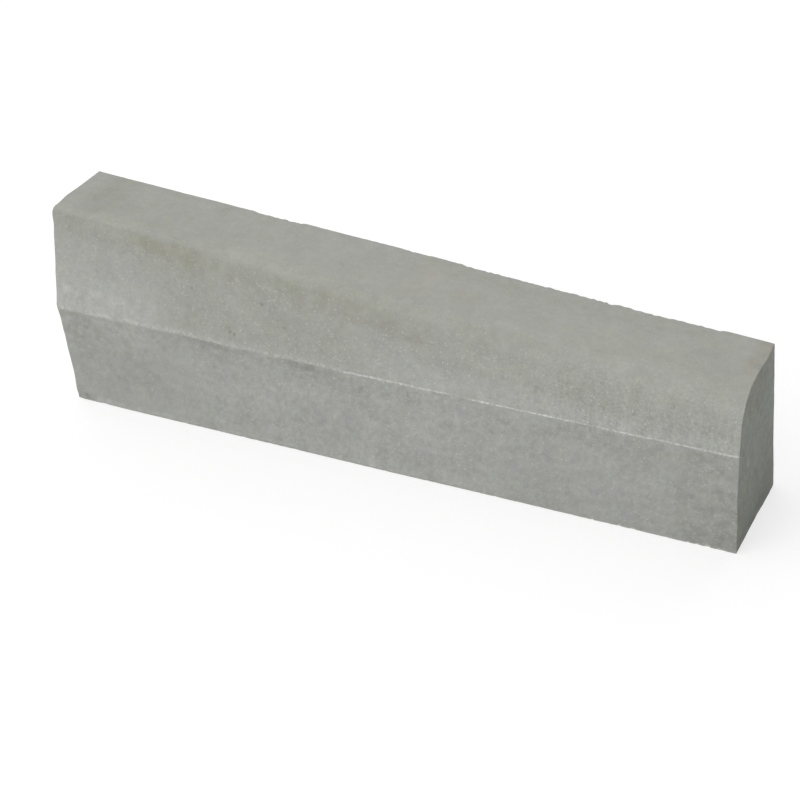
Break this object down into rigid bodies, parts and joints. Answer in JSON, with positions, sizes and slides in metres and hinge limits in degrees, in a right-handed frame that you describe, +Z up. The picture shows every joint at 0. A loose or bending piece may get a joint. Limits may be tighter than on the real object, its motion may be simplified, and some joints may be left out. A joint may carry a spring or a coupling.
{
  "type": "concrete kerb stone",
  "caption": "Precast concrete transition kerb: upright plinth, battered road face and a falling top whose nose grows from a tight to a wide rounding.",
  "frame": {"origin": "middle of the bed, on the surface that the stone lies on", "axes": "+X along the stone from its high end to its low end, -Y towards the road, +Z up"},
  "size_m": [1, 0.15, 0.2999],
  "materials": {
    "kerb_concrete": "matte"
  },
  "bodies": {
    "root": {"kerb_stone": "kerb_concrete"}
  },
  "joints": []
}
